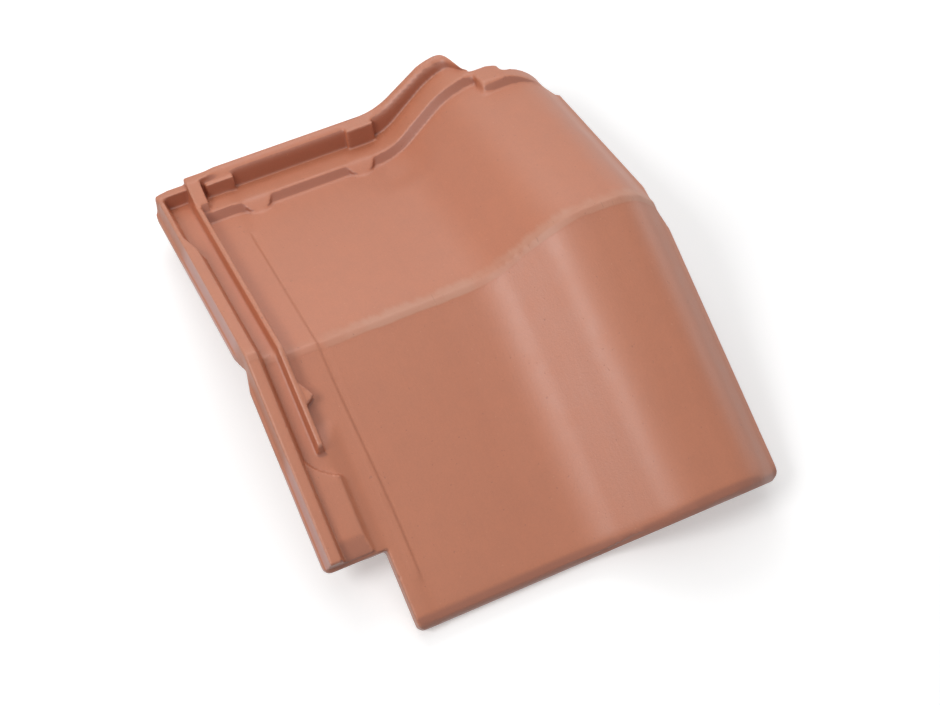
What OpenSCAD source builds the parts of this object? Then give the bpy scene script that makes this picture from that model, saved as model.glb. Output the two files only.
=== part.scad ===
// Clay roof tile with a bend across it, for the break between two roof slopes.
// One pressed and fired piece: two legs of one interlocking S-section, mitred and joined at the bend.
// Millimetres. X runs across the tile (side lock at -X, cover lip at +X), the tail lies towards -Y,
// the head towards +Y. The tile lies unheld on level ground, and the origin is under its middle.

/* [Overall] */
// Width over the side lock and the cover lip
tile_width = 281; // [255:1:340]
// Length of the lower leg, from the bend to the tail edge, along the pan
tail_leg = 183; // [155:1:260]
// Length of the upper leg, from the bend to the head edge, along the pan
head_leg = 173; // [145:1:260]
// Angle through which the tile bends
bend_angle = 38; // [15:1:50]
// Thickness of the fired body
body_thickness = 12; // [9:0.5:15]

/* [Roll] */
// Height of the roll's crown above the pan
roll_height = 37.5; // [32:0.5:46]
// Radius where the pan turns up into the roll
valley_radius = 44; // [30:1:52]
// Steepest slope of the roll towards the pan
rise_angle = 39; // [32:1:44]
// Radius of the crown on the pan side
crown_radius = 54; // [35:1:60]
// Level width on top of the roll
crown_flat = 14; // [4:1:24]
// Radius of the shoulder towards the cover lip
shoulder_radius = 34; // [24:1:36]
// Slope of the roll at the cover lip
fall_angle = 50; // [44:1:60]

/* [Cover lip] */
// Height of the lip's ledge above the pan
lip_top = 15; // [11:0.5:17]
// Height of the lip's underside above the pan
lip_bottom = 6; // [3:0.5:8]
// Width of the ledge outside the roll
lip_ledge = 3.5; // [2:0.5:8]
// Fall of the ledge to its outer edge
lip_fall = 1.5; // [0.5:0.1:3]
// Width of tile that the neighbour's lip covers
side_lap = 40; // [37:1:48]
// Play between a lip and the lock below it
lock_clearance = 1.5; // [0.5:0.25:3]

/* [Side lock] */
// Height of the channel floor above the pan
lock_floor = 6.5; // [4:0.5:8]
// Thickness of clay under the channel
lock_base = 8; // [6:0.5:10]
// Height of the outer rim above the pan
rim_top = 17; // [13:0.5:20]
// Upright edge below the ledge on the rim's outer side
rim_edge = 6; // [4:0.5:7]
// Width of that ledge
rim_ledge = 2; // [1:0.5:3]
// How far the rim's outer side leans inwards above its ledge
rim_lean = 1.2; // [0.4:0.1:2]
// Width of the rim's top
rim_width = 7.4; // [6.6:0.2:9]
// Run of the rim's inner side down to the channel floor
rim_bank = 3; // [1:0.5:4]
// Width of the water channel
channel_width = 9; // [6:0.5:14]
// How far the rim's inner side is set outwards along the head end of the channel
rim_set_out = 4.5; // [3:0.5:5]
// Length of the head end where the rim is set outwards
rim_set_length = 53; // [40:1:70]
// Length over which the rim swings inwards again
rim_swing = 16; // [10:1:24]
// Height of the inner rib above the pan
rib_top = 12.8; // [11:0.2:16]
// Width of the inner rib at its foot
rib_width = 5.5; // [4:0.5:8]
// Distance from the outer edge to the crease between the strip beside the rib and the pan
crease_at = 51; // [46:1:60]
// Slope of the crease
crease_angle = 12; // [8:1:14]
// Radius of the crease's two turns
crease_radius = 20; // [18:1:30]
// Distance from the bend to the lug beside the inner rib
lug_start = 18; // [10:1:24]
// Length of the lug
lug_length = 16; // [12:1:24]
// Length of the lug's blunt end
lug_nose = 4; // [2:0.5:6]
// Distance from the bend to the end of the inner rib
rib_stop = 59; // [48:1:62]

/* [Head lock] */
// Depth of the shelf, from its front step to the head edge
shelf_depth = 25.5; // [20:0.5:36]
// Height of the shelf above the pan
shelf_height = 6.2; // [4:0.2:8]
// Height of the head wall above the pan
wall_height = 22; // [18:0.5:26]
// Thickness of the head wall
wall_thickness = 7; // [5:0.5:10]
// Height of the head wall above the roll's crown
crown_wall = 12; // [8:0.5:18]
// Run of the sloping face of the front step
step_slope = 4; // [2:0.5:6]
// Depth of the two blocks inside the head wall
block_depth = 3.5; // [1:0.5:5]
// Width of each block
block_width = 18; // [10:1:22]
// How far the left block stays below the top of the head wall
block_drop = 4.5; // [2:0.5:8]
// Gap between the corner block and the left block
block_gap = 3; // [2:0.5:8]
// Width of the corner block between the channel and the shelf
corner_width = 9; // [7:0.5:12]
// Radius of the two pads against the front step
pad_radius = 10; // [6:0.5:14]
// How far the sloping fronts of the pads reach out from the step
pad_reach = 8; // [6:0.5:11]
// How far the front step is set towards the tail where it crosses the roll
step_jog = 15; // [8:1:24]
// Length of the corner block's slope down to the inner rib
corner_ramp = 15; // [8:1:18]
// Radius of the corner at the head, beside the water channel
head_corner = 6; // [3:0.5:9]

/* [Lower corner] */
// Length of side lock cut away at the tail
notch_length = 52; // [40:1:64]
// Height of the platform that closes the foot of the channel above the pan
platform_top = 9; // [7.5:0.5:11]
// Width of the bank on the pan side of the platform
platform_bank = 7; // [4:0.5:8]
// Length of the platform's slope down to the notch
platform_fall = 15; // [10:1:20]
// Radius of the landing below the inner rib, which turns the water onto the pan
landing_radius = 32; // [28:1:34]
// Distance from the outer edge to the middle of the landing
landing_across = 42; // [40:1:44]
// Distance from the bend to the middle of the landing
landing_along = 50; // [46:1:54]
// Width of the landing's slope down to the strip beside the rib
landing_slope = 12; // [8:1:14]
// Radius of the corner at the tail
tail_corner = 7; // [4:0.5:12]
// Length of the tail over which its top edge rolls over
tail_roll = 8; // [5:0.5:12]
// Radius of the corner at the notch
notch_corner = 5; // [3:0.5:7]

/* [Seam] */
// How far the joined ends are trimmed at each side of the tile
seam_trim = 3; // [1:0.5:4]
// Length of the trim along each leg
trim_length = 14; // [8:1:20]

/* [Underside] */
// Depth of the hanging nibs below the body
nib_depth = 16; // [10:1:24]
// Width of each nib
nib_width = 28; // [18:1:36]
// Length of each nib at its foot
nib_length = 15; // [10:1:20]
// Fall of the nib's back towards its tip
nib_taper = 3.5; // [2:0.5:6]
// Distance between the middles of the nibs
nib_spacing = 84; // [60:1:96]
// Distance from the head edge to the nib's hooking face
nib_setback = 34; // [28:1:48]

/* [Hidden] */

// Facets of each arc in the section, and of each rounded corner and pad
arc_steps = 11;
corner_facets = 48;
// How far cuts run past the body
overrun = 150;
// How far each leg runs into the other at the mitre, which leaves a fine bead of clay on the seam
seam_bead = 0.25;
// Draft on each side of the rib and the tongue
draft = 1.2;
// How late the head wall gives up its height as it climbs the roll
wall_ease = 3;
// Length of the straight slope between the crease's two turns
crease_run = 1.5;
// How far the platform reaches past the inner rib, and the height of the pads' lower edges
platform_past = 1;
pad_nose = 0.4;
// Length over which the landing's slope rises beside the rib
landing_lead = 12;
// The rolled tail edge falls gently at first and then steeply over this share of its length
tail_gentle = 14;
tail_steep = 50;
tail_steep_share = 0.5;

half_bend = bend_angle / 2;
half_body = body_thickness / 2;
lock_under = lock_floor - lock_base;
rim_inside = rim_ledge + rim_lean + rim_width + rim_bank;
rib_left = rim_inside + channel_width;
rib_right = rib_left + rib_width;
cover_width = tile_width - side_lap;

// Section of the tile: its top line as stations [across, height, slope]
function hollow_arc(x, w, radius, from, to) = [
    for (i = [0 : arc_steps])
        let (a = from + (to - from) * i / arc_steps)
        [x + radius * (sin(a) - sin(from)), w + radius * (cos(from) - cos(a)), a]
];
function round_arc(x, w, radius, from, to) = [
    for (i = [0 : arc_steps])
        let (a = from + (to - from) * i / arc_steps)
        [x + radius * (sin(from) - sin(a)), w + radius * (cos(a) - cos(from)), a]
];

valley_rise = valley_radius * (1 - cos(rise_angle));
crown_rise = crown_radius * (1 - cos(rise_angle));
flank_run = (roll_height - valley_rise - crown_rise) / tan(rise_angle);
shoulder_drop = shoulder_radius * (1 - cos(fall_angle));
lip_run = (roll_height - shoulder_drop - lip_top) / tan(fall_angle);

shoulder_end = tile_width - lip_ledge - lip_run;
crown_end = shoulder_end - shoulder_radius * sin(fall_angle);
crown_start = crown_end - crown_flat;
flank_end = crown_start - crown_radius * sin(rise_angle);
roll_foot = flank_end - flank_run - valley_radius * sin(rise_angle);

half_crease = crease_run / 2;
crease_start = crease_at - half_crease - crease_radius * sin(crease_angle);
crease_drop = crease_radius * (1 - cos(crease_angle));
strip_rise = crease_drop + crease_run * tan(crease_angle) + crease_drop;

stations = concat(
    [[rib_right, strip_rise, 0]],
    round_arc(crease_start, strip_rise, crease_radius, 0, -crease_angle),
    hollow_arc(crease_at + half_crease, crease_drop, crease_radius, -crease_angle, 0),
    hollow_arc(roll_foot, 0, valley_radius, 0, rise_angle),
    round_arc(flank_end, roll_height - crown_rise, crown_radius, rise_angle, 0),
    round_arc(crown_end, roll_height, shoulder_radius, 0, -fall_angle)
);

// The section's top line moved outwards by a distance, or inwards where it is negative
function line_at(distance) = [
    for (s = stations) [s[0] - distance * sin(s[2]), s[1] + distance * cos(s[2])]
];
function reversed(points) = [for (i = [len(points) - 1 : -1 : 0]) points[i]];
function last(points) = points[len(points) - 1];

under_line = line_at(-body_thickness);
lip_inside = last(under_line)[0] + (last(under_line)[1] - lip_bottom) / tan(fall_angle);

module section() {
    polygon(concat(
        [
            [0, lock_under],
            [0, lock_under + rim_edge],
            [rim_ledge, lock_under + rim_edge],
            [rim_ledge, lock_floor],
            [rib_left, lock_floor],
            [rib_left + draft, rib_top],
            [rib_right - draft, rib_top]
        ],
        line_at(0),
        [
            [tile_width - lip_ledge, lip_top],
            [tile_width, lip_top - lip_fall],
            [tile_width, lip_bottom],
            [lip_inside, lip_bottom]
        ],
        reversed(under_line),
        [[rib_left, lock_under]]
    ));
}

// Outer rim of the side lock, with its inner side set outwards by a distance
module rim_section(set_out) {
    polygon([
        [rim_ledge, lock_under],
        [rim_ledge + rim_lean, rim_top],
        [rim_inside - rim_bank - set_out, rim_top],
        [rim_inside - set_out, lock_floor],
        [rim_inside - set_out, lock_under]
    ]);
}

// Room in the cover lip for the neighbour's inner rib
module rib_groove() {
    left = cover_width + rib_left - lock_clearance;
    right = cover_width + rib_right + lock_clearance;
    translate([left, -overrun]) square([right - left, overrun + rib_top + lock_clearance]);
}

// Tongue under the roll that hangs into the neighbour's water channel
module tongue() {
    left = cover_width + rim_inside + lock_clearance;
    right = cover_width + rib_left - lock_clearance;
    foot = lock_floor + lock_clearance;
    polygon([
        [left + draft, foot],
        [right - draft, foot],
        [right, roll_height - body_thickness],
        [left, roll_height - body_thickness]
    ]);
}

// Extrudes a drawing of [across, height] from one distance along a leg to another
module run(from, to) {
    translate([0, to, 0]) rotate([90, 0, 0]) linear_extrude(to - from) children();
}

// Extrudes a drawing of [along, height] from one place across the tile to another
module across(from, to) {
    translate([from, 0, 0]) rotate([90, 0, 90]) linear_extrude(to - from) children();
}

// Cuts everything past one distance along a leg, between two places across it
module cut_off(from, to, start) {
    translate([from, start, -overrun]) cube([to - from, overrun, overrun + overrun]);
}

// Cuts what lies above a slope that starts on the top line and follows it across the tile
module slope_cut(start, angle) {
    intersection() {
        translate([0, start, 0]) rotate([angle, 0, 0]) run(-overrun, overrun) scale([1, cos(angle)])
            polygon(concat(
                [[-overrun, overrun], [-overrun, rib_top]],
                line_at(0),
                [
                    [tile_width - lip_ledge, lip_top],
                    [tile_width, lip_top - lip_fall],
                    [tile_width + overrun, lip_top - lip_fall],
                    [tile_width + overrun, overrun]
                ]
            ));
        cut_off(-overrun, tile_width + overrun, start);
    }
}

// Trims a leg's end beside the seam; side is 1 at the side lock and -1 at the cover lip
module trim_cut(x, side) {
    translate([x, 0, -overrun]) scale([side, 1, 1]) linear_extrude(overrun + overrun) polygon([
        [-overrun, -overrun],
        [seam_trim, -overrun],
        [seam_trim, 0],
        [0, trim_length],
        [-overrun, trim_length]
    ]);
}

// Everything of a leg on its own side of the mitre
module mitred() {
    intersection() {
        children();
        rotate([half_bend, 0, 0]) translate([-overrun, -seam_bead, -overrun])
            cube([overrun + tile_width + overrun, tail_leg + head_leg, overrun + overrun]);
    }
}

module leg_body(length) {
    run(-overrun, length) difference() {
        union() {
            section();
            tongue();
        }
        rib_groove();
    }
}

// Head lock: front step, shelf and pads, the head wall with its blocks, and the corner cut over the roll
wall_front = head_leg - wall_thickness;
wall_end = crown_start - wall_thickness;
jog_at = crown_start - lip_ledge;
shelf_front = head_leg - shelf_depth;
roll_step = shelf_front - step_jog;
roll_head = shelf_front + step_slope;
lip_head = shelf_front - shelf_height;
shelf_end = crown_end + draft;
swing_end = head_leg - rim_set_length;
swing_start = swing_end - rim_swing;
step_angle = atan2(shelf_height, step_slope);
half_crown_wall = crown_wall / 2;
corner_left = rib_left + draft;
left_block = corner_left + corner_width + block_gap;
right_block = roll_foot - pad_radius - draft;
pad_places = [left_block + block_width + pad_radius, roll_foot - pad_radius];

// A strip of the section's top, from half the body's thickness up to a height above it
module shelf_strip(from, to) {
    intersection() {
        polygon(concat(line_at(shelf_height), reversed(line_at(-half_body))));
        translate([from, -overrun]) square([to - from, overrun + overrun]);
    }
}

// Front view of the head wall: level over the pan, rising with the roll and lower on its crown
function wall_over(rise) = rise + wall_height - (wall_height - crown_wall) * pow(rise / roll_height, wall_ease);
module wall_outline(from, to, lowered) {
    top = [for (s = stations) [s[0], (s[0] < roll_foot ? wall_height : wall_over(s[1])) - lowered]];
    intersection() {
        polygon(concat(top, reversed(line_at(-half_body))));
        polygon([
            [from, -overrun],
            [to + draft, -overrun],
            [to + draft, roll_height],
            [to, roll_height + half_crown_wall],
            [to - half_crown_wall, roll_height + crown_wall],
            [from, overrun]
        ]);
    }
}

// The same strip fading out down the shoulder of the roll
module fading_strip() {
    shoulder = [for (s = stations) if (s[0] >= crown_end) s];
    function left_over(x) = shelf_height * (shoulder_end - x) / (shoulder_end - crown_end);
    polygon(concat(
        [for (s = shoulder) [s[0] - left_over(s[0]) * sin(s[2]), s[1] + left_over(s[0]) * cos(s[2])]],
        reversed([for (s = shoulder) [s[0] + half_body * sin(s[2]), s[1] - half_body * cos(s[2])]])
    ));
}

// Extrudes a raised strip with a sloping front from one distance along the leg to another
module step_run(front, back) {
    difference() {
        run(front - step_slope, back) children();
        slope_cut(front - step_slope, step_angle);
    }
}

// Pad with a rounded lower edge, sloping from the shelf down to the pan
module pad(middle) {
    intersection() {
        translate([middle, shelf_front + pad_radius - pad_reach, -half_body])
            cylinder(r = pad_radius, h = half_body + shelf_height, $fn = corner_facets);
        across(0, tile_width) polygon([
            [shelf_front - pad_reach, -half_body],
            [shelf_front - pad_reach, pad_nose],
            [shelf_front, shelf_height],
            [head_leg, shelf_height],
            [head_leg, -half_body]
        ]);
    }
}

module head_lock() {
    step_run(shelf_front, head_leg) shelf_strip(corner_left, jog_at);
    step_run(roll_step, roll_head) shelf_strip(jog_at, shelf_end);
    step_run(roll_step, lip_head) fading_strip();
    run(wall_front, head_leg) wall_outline(corner_left, wall_end, 0);
    run(wall_front - block_depth, wall_front + block_depth)
        wall_outline(left_block, left_block + block_width, block_drop);
    run(wall_front - block_depth, wall_front + block_depth)
        wall_outline(right_block, right_block + block_width, draft);
    for (place = pad_places) pad(place);
    // Low wall across the top of the water channel
    run(wall_front, head_leg) translate([rim_ledge, lock_under])
        square([rib_right - rim_ledge, rim_top - lock_under]);
    // Corner block that runs down into the inner rib
    across(corner_left, corner_left + corner_width) polygon([
        [shelf_front, lock_under],
        [shelf_front, shelf_height],
        [wall_front - corner_ramp, rib_top],
        [wall_front, wall_height],
        [head_leg, wall_height],
        [head_leg, lock_under]
    ]);
}

// Rim of the upper leg, which swings outwards towards the head
module upper_rim() {
    run(-overrun, swing_start) rim_section(0);
    hull() {
        run(swing_start - seam_bead, swing_start) rim_section(0);
        run(swing_end, swing_end + seam_bead) rim_section(rim_set_out);
    }
    run(swing_end, head_leg) rim_section(rim_set_out);
}

// Two nibs under the head that hook behind the roof batten
nib_places = [roll_foot - nib_spacing, roll_foot];
nib_front = head_leg - nib_setback;
nib_tip = nib_front + nib_length - nib_taper;
nib_under = -body_thickness - nib_depth;

module nib(middle) {
    across(middle - nib_width / 2, middle + nib_width / 2) polygon([
        [nib_front, -half_body],
        [nib_front, nib_under],
        [nib_tip, nib_under],
        [nib_front + nib_length, -half_body]
    ]);
}

module upper_leg() {
    mitred() difference() {
        union() {
            leg_body(head_leg);
            upper_rim();
            head_lock();
            for (place = nib_places) nib(place);
        }
        cut_off(jog_at, tile_width + overrun, roll_head);
        cut_off(shelf_end, tile_width + overrun, lip_head);
        cut_off(shoulder_end, tile_width + overrun, roll_step);
        corner_cut(0, head_leg, head_corner, 1);
        trim_cut(0, 1);
        trim_cut(tile_width, -1);
    }
}

// Foot of the side lock on the lower leg: the rib's end, the landing, the platform and the notch
notch_at = tail_leg - notch_length;
rib_end = rib_stop + rib_width;
platform_left = rim_inside - rim_bank;
platform_right = rib_right + platform_past;
platform_end = notch_at - platform_fall;
landing_right = rib_right + landing_slope;
tail_steep_length = tail_roll * tail_steep_share;

// Slope that leads the water from the channel down to the strip beside the rib
module landing() {
    intersection() {
        run(rib_stop - landing_lead, notch_at) polygon([
            [rib_left, lock_under],
            [rib_left, lock_floor],
            [rib_right, lock_floor],
            [landing_right, strip_rise],
            [landing_right, lock_under]
        ]);
        across(0, side_lap) polygon([
            [rib_stop - landing_lead, lock_under],
            [rib_stop - landing_lead, strip_rise],
            [rib_end, lock_floor],
            [notch_at, lock_floor],
            [notch_at, lock_under]
        ]);
    }
}

// Platform that closes the channel: round towards the landing, sloping towards the notch
module platform() {
    difference() {
        run(landing_along, notch_at) polygon([
            [platform_left, lock_under],
            [platform_left, platform_top],
            [platform_right, platform_top],
            [platform_right + platform_bank, strip_rise],
            [platform_right + platform_bank, lock_under]
        ]);
        translate([landing_across, landing_along, lock_under])
            cylinder(r = landing_radius, h = overrun, $fn = corner_facets);
        across(platform_left, side_lap) polygon([
            [platform_end, platform_top],
            [notch_at, lock_floor],
            [notch_at, rim_top],
            [platform_end, rim_top]
        ]);
    }
}

module lower_lock_cuts() {
    // Notch, and the ledge at the end of the lock beside it
    cut_off(-overrun, side_lap, notch_at);
    across(-overrun, side_lap) polygon([
        [notch_at - rim_ledge - rim_lean, rim_top],
        [notch_at - rim_ledge, lock_under + rim_edge],
        [notch_at + overrun, lock_under + rim_edge],
        [notch_at + overrun, rim_top + overrun],
        [notch_at - rim_ledge - rim_lean, rim_top + overrun]
    ]);
}

// The rib stops above the landing
module rib_end_cut() {
    across(rib_left, rib_right + draft) polygon([
        [rib_stop, rib_top + draft],
        [rib_end, lock_floor],
        [notch_at, lock_floor],
        [notch_at, rib_top + draft]
    ]);
}

// Rounds an upright corner of a leg; the signs give the side of the leg and the end it lies at
module corner_cut(x, along, radius, side) {
    translate([x, along, -overrun]) scale([side, -1, 1]) linear_extrude(overrun + overrun) difference() {
        translate([-radius, -radius]) square([radius + radius, radius + radius]);
        translate([radius, radius]) circle(r = radius, $fn = corner_facets);
        translate([radius, -radius]) square([radius, radius + radius]);
        translate([-radius, radius]) square([radius + radius, radius]);
    }
}

// Small lug that keys the neighbour's lip: a wedge on the pan side of the rib, blunt towards the tail
module lug() {
    lug_end = lug_start + lug_length;
    translate([0, 0, lock_under]) linear_extrude(rib_top - draft - lock_under) polygon([
        [rib_right - draft, lug_start],
        [rib_right + rib_width, lug_end - lug_nose],
        [rib_right, lug_end],
        [rib_right - draft, lug_end]
    ]);
}

module lower_leg() {
    mitred() difference() {
        union() {
            difference() {
                leg_body(tail_leg);
                rib_end_cut();
            }
            run(-overrun, tail_leg) rim_section(0);
            lug();
            landing();
            platform();
        }
        lower_lock_cuts();
        corner_cut(0, notch_at, notch_corner, 1);
        corner_cut(side_lap, tail_leg, notch_corner, 1);
        corner_cut(tile_width, tail_leg, tail_corner, -1);
        slope_cut(tail_leg - tail_roll, -tail_gentle);
        slope_cut(tail_leg - tail_steep_length, -tail_steep);
        trim_cut(0, 1);
        trim_cut(tile_width, -1);
    }
}

// Where a point on a leg comes to lie, from its distance along the leg and its height: [forward, up]
function on_head(along, height) = [
    along * cos(half_bend) + height * sin(half_bend),
    height * cos(half_bend) - along * sin(half_bend)
];
function on_tail(along, height) = [-on_head(along, height)[0], on_head(along, height)[1]];

// The tile lies on the lower edge of its tail and on the tips of its nibs
tail_foot = on_tail(tail_leg, -body_thickness);
nib_foot = on_head(nib_tip, nib_under);
settle_angle = atan2(tail_foot[1] - nib_foot[1], nib_foot[0] - tail_foot[0]);
function settled(point) = [
    point[0] * cos(settle_angle) - point[1] * sin(settle_angle),
    point[0] * sin(settle_angle) + point[1] * cos(settle_angle)
];
tail_reach = settled(on_tail(tail_leg, roll_height - tail_steep_length * tan(tail_steep)))[0];
head_reach = settled(on_head(head_leg, roll_height + crown_wall))[0];
ground = settled(tail_foot)[1];

module roof_tile() {
    color("#c2785c")
        translate([-tile_width / 2, -(tail_reach + head_reach) / 2, -ground])
            rotate([settle_angle, 0, 0]) {
                rotate([-half_bend, 0, 0]) upper_leg();
                mirror([0, 1, 0]) rotate([-half_bend, 0, 0]) lower_leg();
            }
}

roof_tile();
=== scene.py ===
import math

import bmesh
import bpy
from mathutils import Euler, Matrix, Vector


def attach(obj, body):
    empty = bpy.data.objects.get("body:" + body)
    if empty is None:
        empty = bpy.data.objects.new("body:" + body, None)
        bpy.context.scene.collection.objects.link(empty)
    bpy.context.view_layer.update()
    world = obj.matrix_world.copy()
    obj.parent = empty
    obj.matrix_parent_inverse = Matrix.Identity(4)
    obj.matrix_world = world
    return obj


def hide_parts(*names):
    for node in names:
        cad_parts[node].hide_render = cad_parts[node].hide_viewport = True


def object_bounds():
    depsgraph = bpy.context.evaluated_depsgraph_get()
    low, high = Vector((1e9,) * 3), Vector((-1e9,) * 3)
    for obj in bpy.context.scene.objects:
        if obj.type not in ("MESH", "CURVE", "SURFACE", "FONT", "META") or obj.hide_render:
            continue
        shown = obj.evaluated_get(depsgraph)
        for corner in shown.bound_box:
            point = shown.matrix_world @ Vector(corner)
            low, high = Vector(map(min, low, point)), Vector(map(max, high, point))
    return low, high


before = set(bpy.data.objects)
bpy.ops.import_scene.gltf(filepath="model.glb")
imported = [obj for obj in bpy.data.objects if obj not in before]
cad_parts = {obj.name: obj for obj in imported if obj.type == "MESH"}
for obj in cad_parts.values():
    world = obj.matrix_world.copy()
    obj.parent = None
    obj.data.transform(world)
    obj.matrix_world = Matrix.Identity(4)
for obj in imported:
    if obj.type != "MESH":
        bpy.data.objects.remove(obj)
cad_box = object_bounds()

# The tile is one piece of fired terracotta. Two lengths of a pressed, interlocking S-section were cut to a
# mitre while soft, joined at the bend with slip, which was smeared over the joint, and fired together.
# The press and the drying leave rounded arrises, slightly uneven faces and a few crumbled edges.
clay_seed = 4.0
mitre_point = Vector((0.0, 0.0017111, 0.0734608))  # a point on the mitre's plane, under the bend
mitre_lean = math.radians(0.8618)  # how far the plane leans, as the tile lies on its nibs and tail
mitre_way = Vector((0.0, math.cos(mitre_lean), math.sin(mitre_lean)))  # square to the plane, to the head
head_way = Vector((0.0, 0.950308, -0.311310))  # up the head leg, from the mitre
head_up = Vector((0.0, 0.311310, 0.950308))  # square to the head leg


def place(tree, kind, values=(), **settings):
    """Adds a node to a tree, with its settings and with values or links for its inputs."""
    node = tree.nodes.new(kind)
    for name, value in settings.items():
        setattr(node, name, value)
    for key, value in dict(values).items():
        if isinstance(value, bpy.types.NodeSocket):
            tree.links.new(value, node.inputs[key])
        else:
            node.inputs[key].default_value = value
    return node


def sums(tree, operation, *values):
    """One arithmetic step on single numbers."""
    return place(tree, "ShaderNodeMath", enumerate(values), operation=operation).outputs[0]


def product(tree, first, *others):
    """Several numbers multiplied, in turn."""
    for other in others:
        first = sums(tree, "MULTIPLY", first, other)
    return first


def vectors(tree, operation, *values):
    """One arithmetic step on vectors."""
    node = place(tree, "ShaderNodeVectorMath", enumerate(values), operation=operation)
    return node.outputs["Value" if operation in ("DOT_PRODUCT", "DISTANCE") else "Vector"]


def scaled(tree, vector, share):
    """A vector made longer or shorter."""
    return place(tree, "ShaderNodeVectorMath", {0: vector, "Scale": share}, operation="SCALE").outputs[0]


def parts(tree, vector):
    """A vector's X, Y and Z."""
    return place(tree, "ShaderNodeSeparateXYZ", {0: vector}).outputs


def ramp(tree, value, low, high, start=0.0, end=1.0):
    """A soft step from start to end as value goes from low to high."""
    values = {"Value": value, 1: low, 2: high, 3: start, 4: end}
    return place(tree, "ShaderNodeMapRange", values, interpolation_type="SMOOTHSTEP").outputs[0]


def fade(tree, value, low, high):
    """A soft step from 1 down to 0 as value goes from low to high."""
    return ramp(tree, value, low, high, 1.0, 0.0)


def cloud(tree, where, size, detail=2.0, roughness=0.5, seed=0.0):
    """A soft random pattern, from 0 to 1, whose blotches are about size across."""
    values = {"Vector": where, "W": seed, "Scale": 1.0 / size, "Detail": detail, "Roughness": roughness}
    return place(tree, "ShaderNodeTexNoise", values, noise_dimensions="4D").outputs[0]


def across_mitre(tree, where):
    """How far a place is from the mitre's plane, towards the head."""
    return vectors(tree, "DOT_PRODUCT", vectors(tree, "SUBTRACT", where, mitre_point), mitre_way)


def blurred(tree, value, rounds, weight=1.0, kind="FLOAT_VECTOR"):
    """A value averaged with its neighbours on the surface, some rounds over."""
    node = place(tree, "GeometryNodeBlurAttribute", {"Iterations": rounds, "Weight": weight}, data_type=kind)
    tree.links.new(value, next(socket for socket in node.inputs if socket.enabled))
    return next(socket for socket in node.outputs if socket.enabled)


def moved(tree, shape, **values):
    """The shape with its points moved."""
    return place(tree, "GeometryNodeSetPosition", {"Geometry": shape, **values}).outputs[0]


def marked(tree, shape, name, value):
    """The shape with a number kept at each of its points."""
    values = {"Geometry": shape, "Name": name, "Value": value}
    node = place(tree, "GeometryNodeStoreNamedAttribute", values, data_type="FLOAT", domain="POINT")
    return node.outputs[0]


# the press: a tree of nodes that turns the evenly netted model into clay
pressing = bpy.data.node_groups.new("pressed_clay", "GeometryNodeTree")
pressing.is_modifier = True
pressing.interface.new_socket("Geometry", in_out="OUTPUT", socket_type="NodeSocketGeometry")
pressing.interface.new_socket("Geometry", in_out="INPUT", socket_type="NodeSocketGeometry")
named_inputs = []
for name, kind, value in (
    ("Face passes", "NodeSocketInt", 22),  # rounds of smoothing over the broad faces
    ("Arris passes", "NodeSocketInt", 2),  # and over the arrises
    ("Slip rise", "NodeSocketFloat", 0.00012),
    ("Face wave", "NodeSocketFloat", 0.00018),
    ("Ripple", "NodeSocketFloat", 0.00005),
    ("Crumble", "NodeSocketFloat", 0.0007),
    ("Foot sink", "NodeSocketFloat", 0.0006),
    ("Seed", "NodeSocketFloat", clay_seed),
    ("Clay", "NodeSocketMaterial", None),
):
    socket = pressing.interface.new_socket(name, in_out="INPUT", socket_type=kind)
    named_inputs.append((socket.identifier, value))
given = place(pressing, "NodeGroupInput").outputs
position = place(pressing, "GeometryNodeInputPosition").outputs[0]
normal = place(pressing, "GeometryNodeInputNormal").outputs[0]
cross, _, height = parts(pressing, position)
upleg = vectors(pressing, "DOT_PRODUCT", vectors(pressing, "SUBTRACT", position, mitre_point), head_way)
mitre = across_mitre(pressing, position)
shape = given["Geometry"]

# the ends of the head wall and of the roll's head are pared back
pared_ends = (  # from X, to X, line up the head leg, share drawn back beyond it
    (0.0725, 0.0815, 0.152, 0.90),  # the end of the head wall, on the roll
    (0.0955, 0.1035, 0.145, 0.55),  # the outer corner of the roll's head
)
for start, stop, line, share in pared_ends:
    beyond = sums(pressing, "MAXIMUM", sums(pressing, "SUBTRACT", upleg, line), 0.0)
    back = product(pressing, beyond, ramp(pressing, cross, start, stop, 0.0, -share))
    shape = moved(pressing, shape, Offset=scaled(pressing, head_way, back))

# the head wall's front leans back, so that its top is narrow; over the side lock it stays upright
wall_foot, wall_front, wall_back = 0.160, 0.1664, 0.1732  # up the head leg
wall_left = (-0.105, -0.095)  # X over which the lean sets in
wall_lean, wall_passes = 1.15, 30
wall_level = (0.50, 0.70)  # how far a face looks up from the leg to count as the wall's top
level = ramp(pressing, vectors(pressing, "DOT_PRODUCT", normal, head_up), *wall_level)
crest = product(pressing, level, sums(pressing, "GREATER_THAN", upleg, wall_front))
crest = blurred(pressing, crest, wall_passes, kind="FLOAT")
room_behind = sums(pressing, "MAXIMUM", sums(pressing, "SUBTRACT", wall_back, upleg), 0.0)
lean = product(pressing, crest, ramp(pressing, upleg, wall_foot, wall_front), room_behind, wall_lean,
               ramp(pressing, cross, *wall_left))
shape = moved(pressing, shape, Offset=scaled(pressing, head_way, lean))

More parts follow.
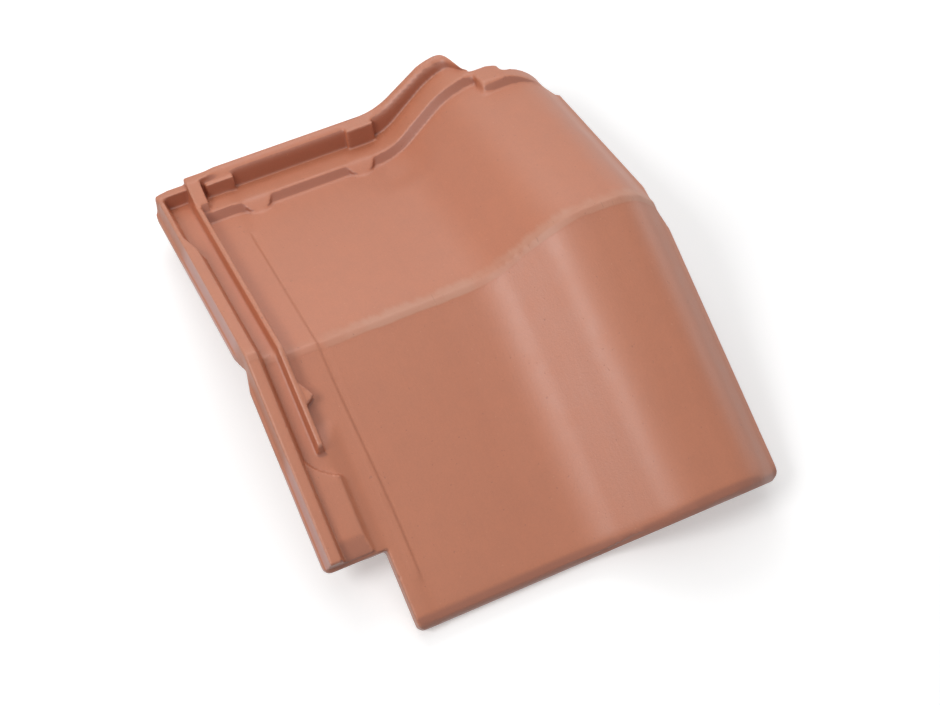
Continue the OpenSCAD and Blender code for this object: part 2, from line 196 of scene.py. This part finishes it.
# broad faces are smoothed far, arrises only little, and a few corners are thumbed round
arris_angles = (math.radians(7), math.radians(15))  # from a face that bends to an arris
arris_spread, arris_share = 3, (0.02, 0.25)  # rounds of blur about an arris, and where smoothing ends in it
thumb_reach = (0.004, 0.010)
thumbed = (  # corners at the head, rounded by hand
    (-0.1385, 0.1695, 0.0364),
    (0.0735, 0.1740, 0.0690),
    (0.0868, 0.1593, 0.0678),
    (0.0848, 0.1412, 0.0737),
    (0.1035, 0.1560, 0.0690),
)
fold = place(pressing, "GeometryNodeInputMeshEdgeAngle").outputs["Unsigned Angle"]
sharp = blurred(pressing, ramp(pressing, fold, *arris_angles), arris_spread, kind="FLOAT")
blunt = fade(pressing, sharp, *arris_share)
shape = moved(pressing, shape, Position=blurred(pressing, position, given["Face passes"], blunt))
shape = moved(pressing, shape, Position=blurred(pressing, position, given["Arris passes"]))
near = 1.0
for corner in thumbed:
    near = sums(pressing, "MINIMUM", near, vectors(pressing, "DISTANCE", position, corner))
thumb = fade(pressing, near, *thumb_reach)
shape = moved(pressing, shape, Position=blurred(pressing, position, given["Face passes"], thumb))

# how far each place stands out tells arrises (crumbled, painted highlight) from inner corners (painted shade)
arris_height, corner_depth = (0.0001, 0.0007), (0.0001, 0.0008)
round_about = 14  # rounds of blur that make up a place's surroundings
proud = vectors(pressing, "SUBTRACT", position, blurred(pressing, position, round_about))
proud = vectors(pressing, "DOT_PRODUCT", proud, normal)
deep = sums(pressing, "MULTIPLY", proud, -1.0)
shape = marked(pressing, shape, "worn_and_highlit_arris", ramp(pressing, proud, *arris_height))
shape = marked(pressing, shape, "inner_corner", ramp(pressing, deep, *corner_depth))

# slip is smeared over the joint on the upper face, with strokes that run out towards the head
slip_low, slip_high = -0.0042, 0.0085  # its reach below and above the mitre
slip_edge, slip_fade = (-0.0005, 0.0007), 0.006
slip_waver, slip_waver_size = 0.0022, 0.018
stroke_length, stroke_width, stroke_way = 0.010, 0.005, (1.0, 0.12, 0.12)
slip_up = (0.2, 0.5)  # how far a face looks up where slip starts to lie on it, and where it all does


def slip_band(tree, where, seed):
    """Where the slip lies: a wavering lower edge, and strokes above."""
    waver = sums(tree, "SUBTRACT", cloud(tree, where, slip_waver_size, 2.0, 0.5, seed), 0.5)
    along = sums(tree, "MULTIPLY_ADD", waver, slip_waver, across_mitre(tree, where))
    strokes = cloud(tree, vectors(tree, "MULTIPLY", where, stroke_way), stroke_width, 3.0, 0.6, seed)
    reach = sums(tree, "MULTIPLY_ADD", strokes, stroke_length, slip_high - 0.5 * stroke_length)
    lower = ramp(tree, along, slip_low + slip_edge[0], slip_low + slip_edge[1])
    upper = ramp(tree, sums(tree, "SUBTRACT", reach, along), 0.0, slip_fade)
    return product(tree, lower, upper)


facing = parts(pressing, normal)[2]
slip = product(pressing, slip_band(pressing, position, given["Seed"]), ramp(pressing, facing, *slip_up))
relief = product(pressing, slip, given["Slip rise"])

# the pan starts to rise well before the roll's foot, sooner than in the model
sag_rise = 0.0017
sag_start, sag_top, sag_end = -0.0145, 0.0245, 0.0585  # X across the tile
sag_up, sag_head = (0.4, 0.6), (0.100, 0.120)  # on faces that look up, fading out towards the head
sag = product(pressing, ramp(pressing, cross, sag_start, sag_top), fade(pressing, cross, sag_top, sag_end),
              ramp(pressing, facing, *sag_up), fade(pressing, mitre, *sag_head))
relief = sums(pressing, "MULTIPLY_ADD", sag, sag_rise, relief)

# the crease between the strip along the side lock and the pan is drawn from a soft bend to a crisp one
crease_drop = 0.00119  # the strip stands this much above the pan
crease_width = 0.0022
crease_head, crease_tail = -0.0914, -0.0878  # X of the strip's edge on the head leg, and far down the tail leg
crease_far = -0.12  # from the mitre, where the edge has come over to crease_tail
crease_up = (0.8, 0.9)  # only on faces that look nearly straight up
soft_bend = (-0.0944, -0.0846)  # X of the model's own bend
crease_run = (-0.150, -0.140, 0.108, 0.118)  # fades in and out along the tile
edge = ramp(pressing, mitre, 0.0, crease_far, crease_head, crease_tail)
edge = sums(pressing, "SUBTRACT", cross, edge)
crease = fade(pressing, edge, -0.5 * crease_width, 0.5 * crease_width)
crease = sums(pressing, "SUBTRACT", crease, fade(pressing, cross, *soft_bend))
run = product(pressing, ramp(pressing, mitre, *crease_run[:2]), fade(pressing, mitre, *crease_run[2:]),
              ramp(pressing, facing, *crease_up))
relief = sums(pressing, "MULTIPLY_ADD", product(pressing, crease, run), crease_drop, relief)

# drying leaves waves and ripples on the faces, and handling crumbles stretches of the arrises
face_wave_size, ripple_size = 0.045, 0.009
crumble_size, stretch_size = 0.0035, 0.02
for size, rise in ((face_wave_size, given["Face wave"]), (ripple_size, given["Ripple"])):
    wave = sums(pressing, "SUBTRACT", cloud(pressing, position, size, 1.0, seed=given["Seed"]), 0.5)
    relief = sums(pressing, "MULTIPLY_ADD", wave, rise, relief)
worn = place(pressing, "GeometryNodeInputNamedAttribute", {"Name": "worn_and_highlit_arris"}, data_type="FLOAT").outputs[0]
crumbs = ramp(pressing, cloud(pressing, position, crumble_size, 3.0, 0.6, given["Seed"]), 0.58, 0.72)
stretches = ramp(pressing, cloud(pressing, position, stretch_size, 1.0, seed=given["Seed"]), 0.48, 0.62)
chips = product(pressing, crumbs, stretches, worn, given["Crumble"])
relief = sums(pressing, "SUBTRACT", relief, chips)

# the lowest arrises are worn level where the tile lies on them
foot_level, foot_height = 0.0006, 0.008
sunk = product(pressing, ramp(pressing, height, foot_level, foot_height, -1.0, 0.0), given["Foot sink"])
raised = scaled(pressing, normal, relief)
raised = vectors(pressing, "ADD", raised, place(pressing, "ShaderNodeCombineXYZ", {2: sunk}).outputs[0])
shape = moved(pressing, shape, Offset=raised)
shape = place(pressing, "GeometryNodeSetShadeSmooth", {"Geometry": shape}).outputs[0]
shape = place(pressing, "GeometryNodeRealizeInstances", {"Geometry": shape}).outputs[0]
shape = place(pressing, "GeometryNodeSetMaterial", {"Geometry": shape, "Material": given["Clay"]}).outputs[0]
place(pressing, "NodeGroupOutput", {"Geometry": shape})

# the clay: a warm terracotta with a satin skin, cloudy in tone and streaked where it was wiped
clay = bpy.data.materials.new("fired_clay")
clay.use_nodes = True
skin = clay.node_tree
skin.nodes.clear()
wiped_way = (1.0, 0.03, 0.03)
fired_dark, fired_pale = (0.488, 0.164, 0.083, 1), (0.537, 0.187, 0.096, 1)


def tinted(colour, share, tint):
    """A colour with a share of another mixed in."""
    return place(skin, "ShaderNodeMix", {0: share, 6: colour, 7: tint}, data_type="RGBA").outputs[2]


def kept(name):
    """A number that the press kept at each point of the tile."""
    return place(skin, "ShaderNodeAttribute", attribute_name=name).outputs["Fac"]


def about(value, swing):
    """A pattern turned into a swing about nought."""
    return product(skin, sums(skin, "SUBTRACT", value, 0.5), swing)


spot = place(skin, "ShaderNodeTexCoord").outputs
where = spot["Object"]
faces = parts(skin, spot["Normal"])
across = parts(skin, where)[0]
mitre = across_mitre(skin, where)
broad = cloud(skin, where, 0.07, 2.0, 0.5, clay_seed)
patchy = cloud(skin, where, 0.012, 3.0, 0.6, clay_seed)
gritty = cloud(skin, where, 0.0011, 2.0, 0.6, clay_seed)
wiped = cloud(skin, vectors(skin, "MULTIPLY", where, wiped_way), 0.0016, 2.0, 0.6, clay_seed)
shift = sums(skin, "ADD", about(patchy, 0.13), sums(skin, "ADD", about(gritty, 0.15), about(wiped, 0.05)))
tone = scaled(skin, tinted(fired_dark, broad, fired_pale), sums(skin, "ADD", shift, 1.0))

# the slip fired paler, lies in dabs with a few ticks of the tool, and thins out left of the crease
slip_tint, tick_tint = (0.545, 0.260, 0.172, 1), (0.300, 0.115, 0.065, 1)
slip_left, slip_left_share = (-0.090, -0.083), 0.25
tick_way, tick_share = (1.0, 0.15, 0.15), 0.35
slip = product(skin, slip_band(skin, where, clay_seed), ramp(skin, faces[2], *slip_up),
               ramp(skin, across, *slip_left, slip_left_share, 1.0))
dabs = ramp(skin, cloud(skin, where, 0.022, 2.0, 0.6, clay_seed + 1.0), 0.35, 0.62, 0.45, 0.85)
ticks = vectors(skin, "MULTIPLY", where, tick_way)
ticks = ramp(skin, cloud(skin, ticks, 0.0011, 1.0, 0.5, clay_seed + 2.0), 0.70, 0.76)
tone = tinted(tone, product(skin, slip, dabs), slip_tint)
tone = tinted(tone, product(skin, slip, ticks, tick_share), tick_tint)

# steep faces towards the tail are tinted darker as painted shade, since the lamps leave them too bright,
# and the rim's outer face is tinted pale lilac as a painted reflection of the white floor at a grazing angle
steep_tint, steep_share, steep_way = (0.290, 0.098, 0.060, 1), 0.62, (-0.38, -0.54)
painted_reflection_tint, painted_reflection_share = (0.68, 0.39, 0.35, 1), 0.65
reflection_outer, reflection_way = (-0.1345, -0.1330), (-0.65, -0.85)
reflection_head, reflection_tail = (0.004, 0.020, 0.100, 0.118), (-0.070, -0.055)  # along the tile, from the mitre
tone = tinted(tone, product(skin, ramp(skin, faces[1], *steep_way), steep_share), steep_tint)
on_head = product(skin, ramp(skin, mitre, *reflection_head[:2]), fade(skin, mitre, *reflection_head[2:]))
on_legs = sums(skin, "ADD", on_head, fade(skin, mitre, *reflection_tail))
# painted reflection: pale lilac on the rim's outer faces that look out to the left
painted_reflection = product(skin, fade(skin, across, *reflection_outer), ramp(skin, faces[0], *reflection_way), on_legs, painted_reflection_share)
tone = tinted(tone, painted_reflection, painted_reflection_tint)

# inner corners are tinted darker as painted shade, arrises are tinted paler in patches as painted highlight,
# and dark and pale grains show through
corner_shade_tint, corner_shade_share = (0.300, 0.108, 0.068, 1), 0.55
arris_highlight_tint, arris_highlight_share = (0.570, 0.245, 0.155, 1), 0.55
dark_tint, dark_share = (0.250, 0.080, 0.045, 1), 0.35
pale_tint, pale_share = (0.620, 0.300, 0.180, 1), 0.40
# painted shade: inner corners tinted darker
tone = tinted(tone, product(skin, kept("inner_corner"), corner_shade_share), corner_shade_tint)
# painted highlight: arrises tinted paler in patches
highlight_patches = ramp(skin, cloud(skin, where, 0.004, 3.0, 0.6, clay_seed), 0.35, 0.65)
tone = tinted(tone, product(skin, kept("worn_and_highlit_arris"), highlight_patches, arris_highlight_share), arris_highlight_tint)
dark_grain = ramp(skin, cloud(skin, where, 0.0022, 1.0, 0.5, clay_seed + 3.0), 0.72, 0.78)
pale_grain = ramp(skin, cloud(skin, where, 0.0018, 1.0, 0.5, clay_seed + 7.0), 0.73, 0.79)
tone = tinted(tone, product(skin, dark_grain, dark_share), dark_tint)
tone = tinted(tone, product(skin, pale_grain, pale_share), pale_tint)

# the skin is satin, duller on the slip, with fine grit, wiping marks and pits in it
skin_roughness, slip_dulling = 0.45, 0.10
wiped_depth, pit_depth = 0.4, -0.8
satin = sums(skin, "ADD", sums(skin, "ADD", about(patchy, 0.12), about(broad, 0.08)), skin_roughness)
satin = sums(skin, "MULTIPLY_ADD", slip, slip_dulling, satin)
pits = sums(skin, "ADD", gritty, product(skin, wiped, wiped_depth))
pits = sums(skin, "MULTIPLY_ADD", dark_grain, pit_depth, pits)
bump = place(skin, "ShaderNodeBump", {"Height": pits, "Strength": 0.3, "Distance": 0.0003}).outputs[0]
surface = {"Base Color": tone, "Roughness": satin, "IOR": 1.7, "Normal": bump}
surface = place(skin, "ShaderNodeBsdfPrincipled", surface).outputs[0]
place(skin, "ShaderNodeOutputMaterial", {"Surface": surface})

# a merged copy of the model's own mesh is netted evenly, pressed into clay and thinned where it is flat
net_spacing = 0.0008
triangle_share = 0.172
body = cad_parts["roof_tile"].data.copy()
net = bmesh.new()
net.from_mesh(body)
bmesh.ops.remove_doubles(net, verts=net.verts, dist=1e-6)
net.to_mesh(body)
net.free()
blank = bpy.data.objects.new("tile_blank", body)
bpy.context.scene.collection.objects.link(blank)
netting = blank.modifiers.new("netting", "REMESH")
netting.mode = "VOXEL"
netting.voxel_size = net_spacing
press = blank.modifiers.new("press", "NODES")
press.node_group = pressing
for identifier, value in named_inputs:
    press[identifier] = clay if value is None else value
thinning = blank.modifiers.new("thinning", "DECIMATE")
thinning.ratio = triangle_share
thinning.use_collapse_triangulate = True
made = bpy.data.meshes.new_from_object(blank.evaluated_get(bpy.context.evaluated_depsgraph_get()))
bpy.data.objects.remove(blank)
for point in made.vertices:  # the clay never stands out of the model's box
    point.co = [min(max(at, low), high) for at, low, high in zip(point.co, *cad_box)]
made.materials.clear()
made.materials.append(clay)
tile = bpy.data.objects.new("fired_tile", made)
bpy.context.scene.collection.objects.link(tile)
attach(tile, "root")
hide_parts("roof_tile")

# The floor is a plain, pale studio sheet that takes the tile's soft shadow.
# It shows white to the lens and in reflections, and throws less light back under the tile.
half = 6.0
paper_dull, paper_extra, paper_glow = 0.3, 0.6, 0.35  # paleness to stray light, more and a glow to the lens
floor_mesh = bpy.data.meshes.new("studio_floor")
corners = [(-half, -half, 0), (half, -half, 0), (half, half, 0), (-half, half, 0)]
floor_mesh.from_pydata(corners, [], [(0, 1, 2, 3)])
paper = bpy.data.materials.new("pale_paper")
paper.use_nodes = True
sheet = paper.node_tree
sheet.nodes.clear()
rays = place(sheet, "ShaderNodeLightPath").outputs
mirrored = sums(sheet, "MAXIMUM", rays["Is Glossy Ray"], rays["Is Transmission Ray"])
pale = sums(sheet, "MULTIPLY_ADD", mirrored, -paper_dull, paper_dull)
pale = sums(sheet, "MULTIPLY_ADD", rays["Is Camera Ray"], paper_extra, pale)
matte = place(sheet, "ShaderNodeBsdfDiffuse", {"Color": pale}).outputs[0]
white = sums(sheet, "MULTIPLY_ADD", rays["Is Camera Ray"], paper_glow, mirrored)
glow = place(sheet, "ShaderNodeEmission", {"Color": (1, 1, 1, 1), "Strength": white}).outputs[0]
both = place(sheet, "ShaderNodeAddShader", {0: matte, 1: glow}).outputs[0]
place(sheet, "ShaderNodeOutputMaterial", {"Surface": both})
floor_mesh.materials.append(paper)
floor = bpy.data.objects.new("studio_floor", floor_mesh)
bpy.context.scene.collection.objects.link(floor)

# The studio is a pale room with six soft lamps. The two at the left draw the long highlights on the roll,
# those above and behind the head light the pan and the upper leg, and two low ones lift the roll's far side.
room_light, room_white = 0.25, 1.0
lamp_target = Vector((0.0, 0.0, 0.08))
room = bpy.data.worlds.new("pale_room")
bpy.context.scene.world = room
room.use_nodes = True
air = room.node_tree
air.nodes.clear()
rays = place(air, "ShaderNodeLightPath").outputs
seen = sums(air, "MAXIMUM", rays["Is Camera Ray"], rays["Is Glossy Ray"])
seen = sums(air, "MAXIMUM", seen, rays["Is Transmission Ray"])
strength = place(air, "ShaderNodeMix", {0: seen, 2: room_light, 3: room_white}, data_type="FLOAT").outputs[0]
sky = place(air, "ShaderNodeBackground", {"Color": (1, 1, 1, 1), "Strength": strength}).outputs[0]
place(air, "ShaderNodeOutputWorld", {"Surface": sky})
for name, at, size, watts in (
    ("soft_box", Vector((-1.1, -0.15, 1.15)), (0.9, 0.9), 2.6),
    ("key_box", Vector((-1.0, -0.2, 1.35)), (0.5, 0.5), 8.2),
    ("top_box", Vector((0.0, 0.2, 1.7)), (1.2, 1.2), 4.2),
    ("head_box", Vector((0.1, 1.2, 1.3)), (1.2, 0.8), 7.5),
    ("side_panel", Vector((1.2, 0.8, 0.5)), (0.8, 0.5), 1.5),
    ("low_panel", Vector((1.4, 0.2, 0.35)), (0.9, 0.4), 2.2),
):
    lamp = bpy.data.lights.new(name, "AREA")
    lamp.shape = "RECTANGLE"
    lamp.size, lamp.size_y = size
    lamp.energy = watts
    stand = bpy.data.objects.new(name, lamp)
    stand.location = at
    stand.rotation_euler = (at - lamp_target).to_track_quat("Z", "Y").to_euler()
    stand.visible_camera = False
    bpy.context.scene.collection.objects.link(stand)

# The camera looks down on the tile from the left of its tail.
# Its place, turn and lens were fitted to the tile's own edges.
turn = [math.radians(angle) for angle in (30.38221, -1.90543, -25.28738)]
lens = bpy.data.cameras.new("camera")
lens.lens = 69.735
lens.sensor_width = 36.0
eye = bpy.data.objects.new("camera", lens)
eye.location = (-0.27585, -0.53071, 1.02085)
eye.rotation_euler = Euler(turn, "XYZ")
bpy.context.scene.collection.objects.link(eye)
bpy.context.scene.camera = eye
bpy.context.scene.view_settings.view_transform = "Standard"
